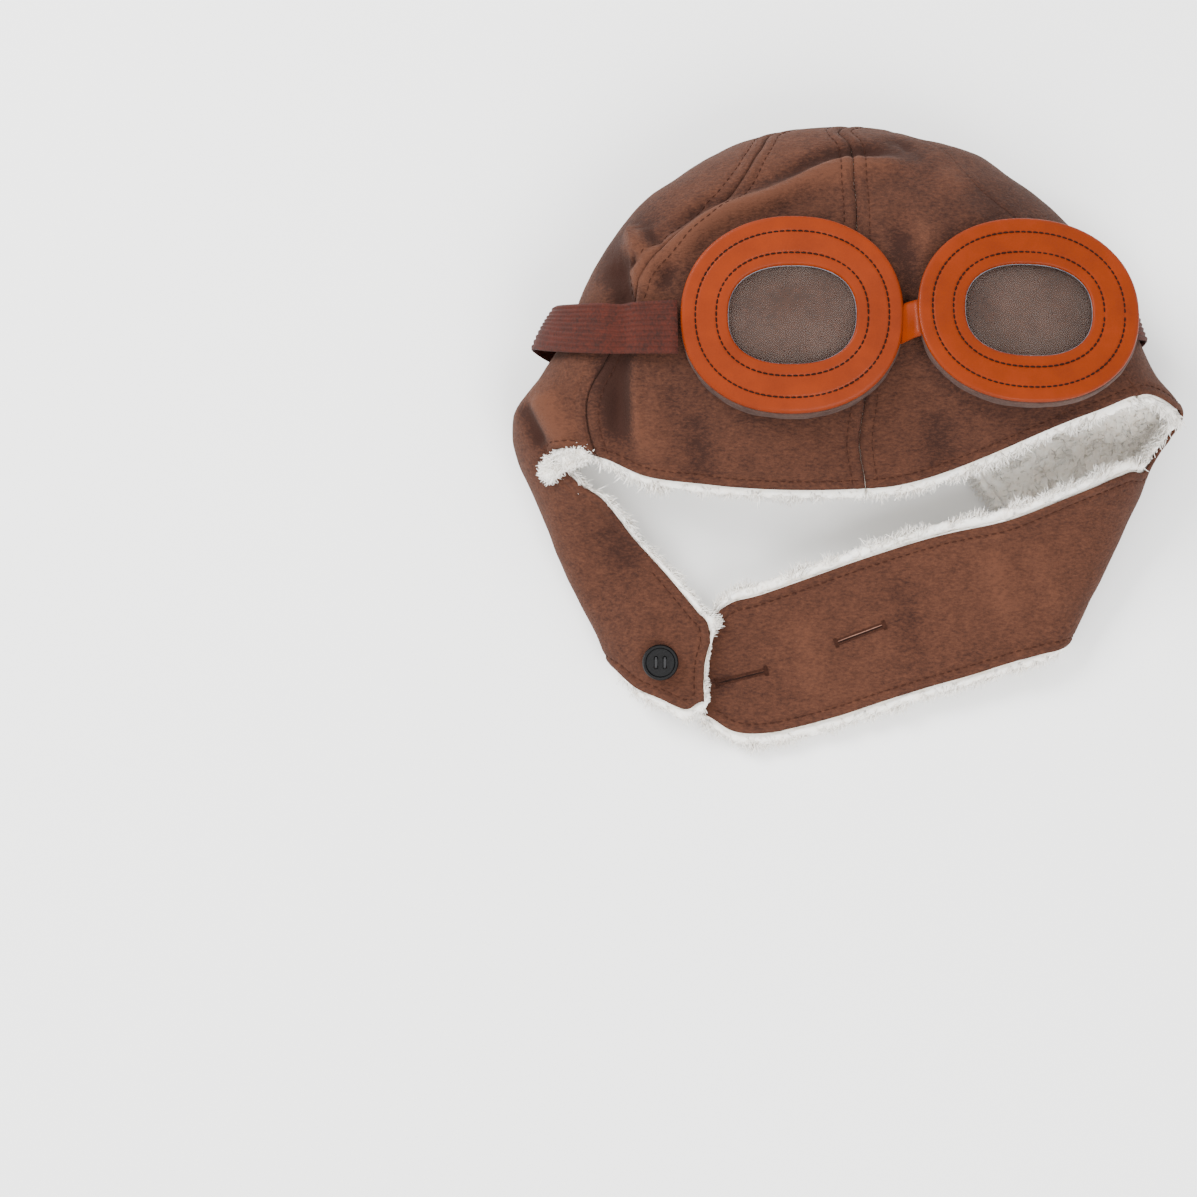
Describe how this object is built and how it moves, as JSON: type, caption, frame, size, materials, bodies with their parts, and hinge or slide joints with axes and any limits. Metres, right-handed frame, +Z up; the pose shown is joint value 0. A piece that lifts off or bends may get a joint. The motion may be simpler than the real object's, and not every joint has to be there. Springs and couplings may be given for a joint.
{
  "type": "earflap hat",
  "caption": "Child's winter hat of suede lined with fleece, with ear flaps, a buttoned chin strap and soft goggles on an elastic band, lying flat on its back.",
  "frame": {"origin": "middle of the underside of the hat as it lies", "axes": "+Z up, out of the front of the crown; +Y towards the top of the crown; +X from the wearer's right ear to the left ear"},
  "size_m": [0.2596, 0.234, 0.0846],
  "materials": {
    "brown_suede": "matt brushed suede with a short nap",
    "cream_fleece": "deep curled sherpa pile, cream white",
    "tan_leather": "smooth tan leather with a low sheen",
    "mauve_foam": "matt felted foam",
    "clear_plastic": "clear flexible pane, glossy",
    "brown_elastic": "ribbed woven elastic",
    "black_plastic": "moulded button, satin gloss",
    "black_thread": "sewing thread"
  },
  "bodies": {
    "root": {"crown_front_left": "brown_suede", "crown_front_right": "brown_suede", "crown_back": "brown_suede", "side_flap_left": "brown_suede", "side_flap_right": "brown_suede", "lining_front_left": "cream_fleece", "lining_front_right": "cream_fleece", "lining_back": "cream_fleece", "lining_left": "cream_fleece", "lining_right": "cream_fleece", "goggle_frame_left": "tan_leather", "goggle_frame_right": "tan_leather", "goggle_bridge": "tan_leather", "goggle_pad_left": "mauve_foam", "goggle_pad_right": "mauve_foam", "goggle_lens_left": "clear_plastic", "goggle_lens_right": "clear_plastic", "elastic_band": "brown_elastic", "chin_button": "black_plastic", "button_thread": "black_thread"}
  },
  "joints": []
}
